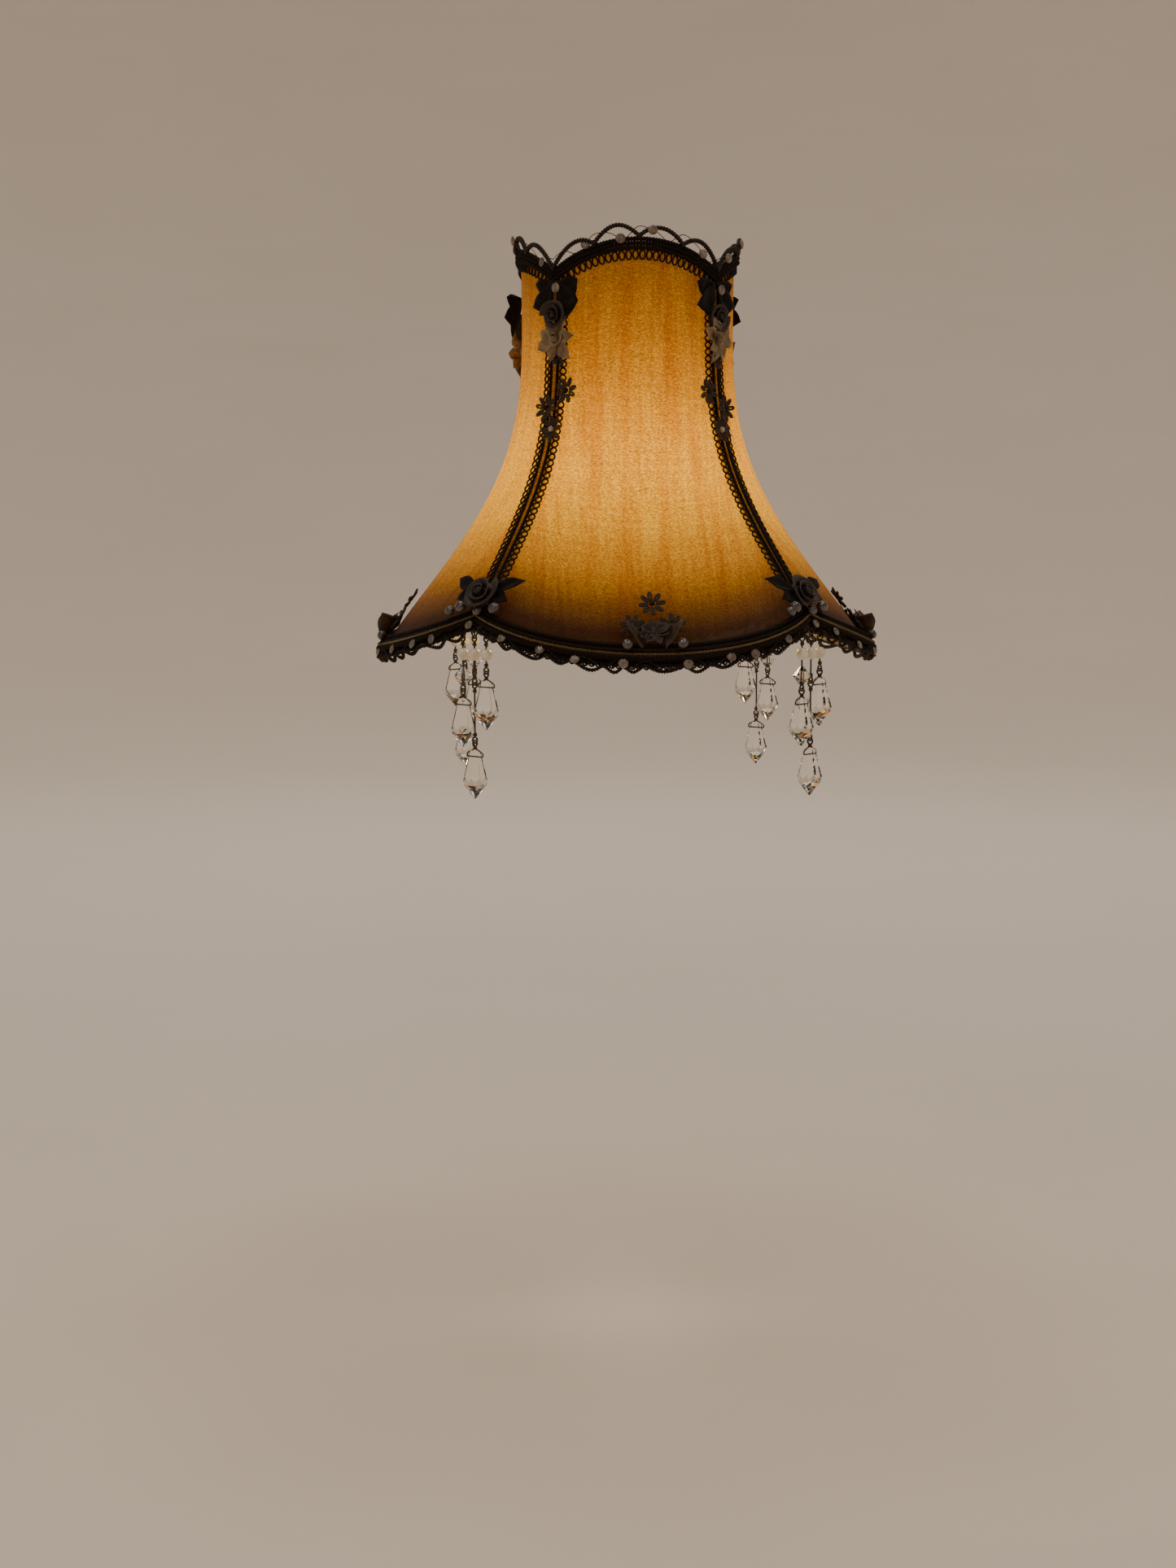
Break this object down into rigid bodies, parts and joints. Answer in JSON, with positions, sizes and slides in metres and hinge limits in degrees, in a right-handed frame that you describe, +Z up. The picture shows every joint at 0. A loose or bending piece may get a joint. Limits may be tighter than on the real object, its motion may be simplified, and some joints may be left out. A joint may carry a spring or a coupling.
{
  "type": "lamp shade",
  "caption": "Bell-shaped lamp shade of stretched fabric panels on wire frames, with corded edges, ribbon flowers and swinging faceted drops at its corners.",
  "frame": {"origin": "centre of the underside of the spider's washer, where the shade sits on the lamp", "axes": "+Z up along the shade's axis, away from the lamp; -Y towards the front panel; +X to the right seen from the front"},
  "size_m": [0.234, 0.234, 0.247],
  "materials": {
    "blackened_iron": "satin, darkened steel",
    "wrapped_wire": "brown thread wrapped round steel wire",
    "amber_crepe": "sheer amber crepe, matt, lets light through",
    "metal_gimp": "bronze and brown metallic gimp braid with looped edges",
    "wire_rope": "dark antique brass twisted wire",
    "gold_satin": "satin ribbon roses in gold and dark brown",
    "dark_velvet": "dark brown velvet leaves and ribbon rose",
    "daisy_loops": "looped thread daisies, bronze to cream",
    "dark_wire": "dark oxidised craft wire",
    "threaded_beads": "cream pearls with a pearly gloss and clear bicone beads, on dark wire",
    "cut_acrylic": "clear, slightly warm, faceted and polished"
  },
  "bodies": {
    "shade": {"front_panel_frame": "wrapped_wire", "front_panel_fabric": "amber_crepe", "front_hem_daisies": "daisy_loops", "right_panel_frame": "wrapped_wire", "right_panel_fabric": "amber_crepe", "right_hem_daisies": "daisy_loops", "back_panel_frame": "wrapped_wire", "back_panel_fabric": "amber_crepe", "back_hem_daisies": "daisy_loops", "left_panel_frame": "wrapped_wire", "left_panel_fabric": "amber_crepe", "left_hem_daisies": "daisy_loops", "spider": "blackened_iron", "top_braid": "metal_gimp", "hem_braid": "metal_gimp", "crown_rope": "wire_rope", "front_right_rib_trim": "metal_gimp", "front_right_crown_spray": "gold_satin", "front_right_foot_rose": "dark_velvet", "front_right_hanger": "dark_wire", "back_right_rib_trim": "metal_gimp", "back_right_crown_spray": "gold_satin", "back_right_foot_rose": "dark_velvet", "back_right_hanger": "dark_wire", "back_left_rib_trim": "metal_gimp", "back_left_crown_spray": "gold_satin", "back_left_foot_rose": "dark_velvet", "back_left_hanger": "dark_wire", "front_left_rib_trim": "metal_gimp", "front_left_crown_spray": "gold_satin", "front_left_foot_rose": "dark_velvet", "front_left_hanger": "dark_wire"},
    "front_right_short_link": {"front_right_short_link": "threaded_beads"},
    "front_right_short_drop": {"front_right_short_drop": "cut_acrylic"},
    "front_right_mid_link": {"front_right_mid_link": "threaded_beads"},
    "front_right_mid_drop": {"front_right_mid_drop": "cut_acrylic"},
    "front_right_long_upper_link": {"front_right_long_upper_link": "threaded_beads"},
    "front_right_long_lower_link": {"front_right_long_lower_link": "dark_wire"},
    "front_right_long_drop": {"front_right_long_drop": "cut_acrylic"},
    "back_right_short_link": {"back_right_short_link": "threaded_beads"},
    "back_right_short_drop": {"back_right_short_drop": "cut_acrylic"},
    "back_right_mid_link": {"back_right_mid_link": "threaded_beads"},
    "back_right_mid_drop": {"back_right_mid_drop": "cut_acrylic"},
    "back_right_long_upper_link": {"back_right_long_upper_link": "threaded_beads"},
    "back_right_long_lower_link": {"back_right_long_lower_link": "dark_wire"},
    "back_right_long_drop": {"back_right_long_drop": "cut_acrylic"},
    "back_left_short_link": {"back_left_short_link": "threaded_beads"},
    "back_left_short_drop": {"back_left_short_drop": "cut_acrylic"},
    "back_left_mid_link": {"back_left_mid_link": "threaded_beads"},
    "back_left_mid_drop": {"back_left_mid_drop": "cut_acrylic"},
    "back_left_long_upper_link": {"back_left_long_upper_link": "threaded_beads"},
    "back_left_long_lower_link": {"back_left_long_lower_link": "dark_wire"},
    "back_left_long_drop": {"back_left_long_drop": "cut_acrylic"},
    "front_left_short_link": {"front_left_short_link": "threaded_beads"},
    "front_left_short_drop": {"front_left_short_drop": "cut_acrylic"},
    "front_left_mid_link": {"front_left_mid_link": "threaded_beads"},
    "front_left_mid_drop": {"front_left_mid_drop": "cut_acrylic"},
    "front_left_long_upper_link": {"front_left_long_upper_link": "threaded_beads"},
    "front_left_long_lower_link": {"front_left_long_lower_link": "dark_wire"},
    "front_left_long_drop": {"front_left_long_drop": "cut_acrylic"}
  },
  "joints": [
    {"name": "front_right_short_link_swing", "type": "hinge", "parent": "shade", "child": "front_right_short_link", "pos_m": [0.0776, -0.06798, -0.15245], "axis": [0.7071, 0.7071, 0], "range_deg": [-40, 40]},
    {"name": "front_right_short_drop_swing", "type": "hinge", "parent": "front_right_short_link", "child": "front_right_short_drop", "pos_m": [0.0776, -0.06798, -0.16745], "axis": [0.7071, 0.7071, 0], "range_deg": [-40, 40]},
    {"name": "front_right_mid_link_swing", "type": "hinge", "parent": "shade", "child": "front_right_mid_link", "pos_m": [0.06798, -0.0776, -0.15245], "axis": [0.7071, 0.7071, 0], "range_deg": [-40, 40]},
    {"name": "front_right_mid_drop_swing", "type": "hinge", "parent": "front_right_mid_link", "child": "front_right_mid_drop", "pos_m": [0.06798, -0.0776, -0.17545], "axis": [0.7071, 0.7071, 0], "range_deg": [-40, 40]},
    {"name": "front_right_long_upper_link_swing", "type": "hinge", "parent": "shade", "child": "front_right_long_upper_link", "pos_m": [0.07279, -0.07279, -0.15245], "axis": [0.7071, 0.7071, 0], "range_deg": [-40, 40]},
    {"name": "front_right_long_lower_link_swing", "type": "hinge", "parent": "front_right_long_upper_link", "child": "front_right_long_lower_link", "pos_m": [0.07279, -0.07279, -0.17245], "axis": [0.7071, 0.7071, 0], "range_deg": [-40, 40]},
    {"name": "front_right_long_drop_swing", "type": "hinge", "parent": "front_right_long_lower_link", "child": "front_right_long_drop", "pos_m": [0.07279, -0.07279, -0.19745], "axis": [0.7071, 0.7071, 0], "range_deg": [-40, 40]},
    {"name": "back_right_short_link_swing", "type": "hinge", "parent": "shade", "child": "back_right_short_link", "pos_m": [0.06798, 0.0776, -0.15245], "axis": [-0.7071, 0.7071, 0], "range_deg": [-40, 40]},
    {"name": "back_right_short_drop_swing", "type": "hinge", "parent": "back_right_short_link", "child": "back_right_short_drop", "pos_m": [0.06798, 0.0776, -0.16745], "axis": [-0.7071, 0.7071, 0], "range_deg": [-40, 40]},
    {"name": "back_right_mid_link_swing", "type": "hinge", "parent": "shade", "child": "back_right_mid_link", "pos_m": [0.0776, 0.06798, -0.15245], "axis": [-0.7071, 0.7071, 0], "range_deg": [-40, 40]},
    {"name": "back_right_mid_drop_swing", "type": "hinge", "parent": "back_right_mid_link", "child": "back_right_mid_drop", "pos_m": [0.0776, 0.06798, -0.17545], "axis": [-0.7071, 0.7071, 0], "range_deg": [-40, 40]},
    {"name": "back_right_long_upper_link_swing", "type": "hinge", "parent": "shade", "child": "back_right_long_upper_link", "pos_m": [0.07279, 0.07279, -0.15245], "axis": [-0.7071, 0.7071, 0], "range_deg": [-40, 40]},
    {"name": "back_right_long_lower_link_swing", "type": "hinge", "parent": "back_right_long_upper_link", "child": "back_right_long_lower_link", "pos_m": [0.07279, 0.07279, -0.17245], "axis": [-0.7071, 0.7071, 0], "range_deg": [-40, 40]},
    {"name": "back_right_long_drop_swing", "type": "hinge", "parent": "back_right_long_lower_link", "child": "back_right_long_drop", "pos_m": [0.07279, 0.07279, -0.19745], "axis": [-0.7071, 0.7071, 0], "range_deg": [-40, 40]},
    {"name": "back_left_short_link_swing", "type": "hinge", "parent": "shade", "child": "back_left_short_link", "pos_m": [-0.0776, 0.06798, -0.15245], "axis": [-0.7071, -0.7071, 0], "range_deg": [-40, 40]},
    {"name": "back_left_short_drop_swing", "type": "hinge", "parent": "back_left_short_link", "child": "back_left_short_drop", "pos_m": [-0.0776, 0.06798, -0.16745], "axis": [-0.7071, -0.7071, 0], "range_deg": [-40, 40]},
    {"name": "back_left_mid_link_swing", "type": "hinge", "parent": "shade", "child": "back_left_mid_link", "pos_m": [-0.06798, 0.0776, -0.15245], "axis": [-0.7071, -0.7071, 0], "range_deg": [-40, 40]},
    {"name": "back_left_mid_drop_swing", "type": "hinge", "parent": "back_left_mid_link", "child": "back_left_mid_drop", "pos_m": [-0.06798, 0.0776, -0.17545], "axis": [-0.7071, -0.7071, 0], "range_deg": [-40, 40]},
    {"name": "back_left_long_upper_link_swing", "type": "hinge", "parent": "shade", "child": "back_left_long_upper_link", "pos_m": [-0.07279, 0.07279, -0.15245], "axis": [-0.7071, -0.7071, 0], "range_deg": [-40, 40]},
    {"name": "back_left_long_lower_link_swing", "type": "hinge", "parent": "back_left_long_upper_link", "child": "back_left_long_lower_link", "pos_m": [-0.07279, 0.07279, -0.17245], "axis": [-0.7071, -0.7071, 0], "range_deg": [-40, 40]},
    {"name": "back_left_long_drop_swing", "type": "hinge", "parent": "back_left_long_lower_link", "child": "back_left_long_drop", "pos_m": [-0.07279, 0.07279, -0.19745], "axis": [-0.7071, -0.7071, 0], "range_deg": [-40, 40]},
    {"name": "front_left_short_link_swing", "type": "hinge", "parent": "shade", "child": "front_left_short_link", "pos_m": [-0.06798, -0.0776, -0.15245], "axis": [0.7071, -0.7071, 0], "range_deg": [-40, 40]},
    {"name": "front_left_short_drop_swing", "type": "hinge", "parent": "front_left_short_link", "child": "front_left_short_drop", "pos_m": [-0.06798, -0.0776, -0.16745], "axis": [0.7071, -0.7071, 0], "range_deg": [-40, 40]},
    {"name": "front_left_mid_link_swing", "type": "hinge", "parent": "shade", "child": "front_left_mid_link", "pos_m": [-0.0776, -0.06798, -0.15245], "axis": [0.7071, -0.7071, 0], "range_deg": [-40, 40]},
    {"name": "front_left_mid_drop_swing", "type": "hinge", "parent": "front_left_mid_link", "child": "front_left_mid_drop", "pos_m": [-0.0776, -0.06798, -0.17545], "axis": [0.7071, -0.7071, 0], "range_deg": [-40, 40]},
    {"name": "front_left_long_upper_link_swing", "type": "hinge", "parent": "shade", "child": "front_left_long_upper_link", "pos_m": [-0.07279, -0.07279, -0.15245], "axis": [0.7071, -0.7071, 0], "range_deg": [-40, 40]},
    {"name": "front_left_long_lower_link_swing", "type": "hinge", "parent": "front_left_long_upper_link", "child": "front_left_long_lower_link", "pos_m": [-0.07279, -0.07279, -0.17245], "axis": [0.7071, -0.7071, 0], "range_deg": [-40, 40]},
    {"name": "front_left_long_drop_swing", "type": "hinge", "parent": "front_left_long_lower_link", "child": "front_left_long_drop", "pos_m": [-0.07279, -0.07279, -0.19745], "axis": [0.7071, -0.7071, 0], "range_deg": [-40, 40]}
  ]
}
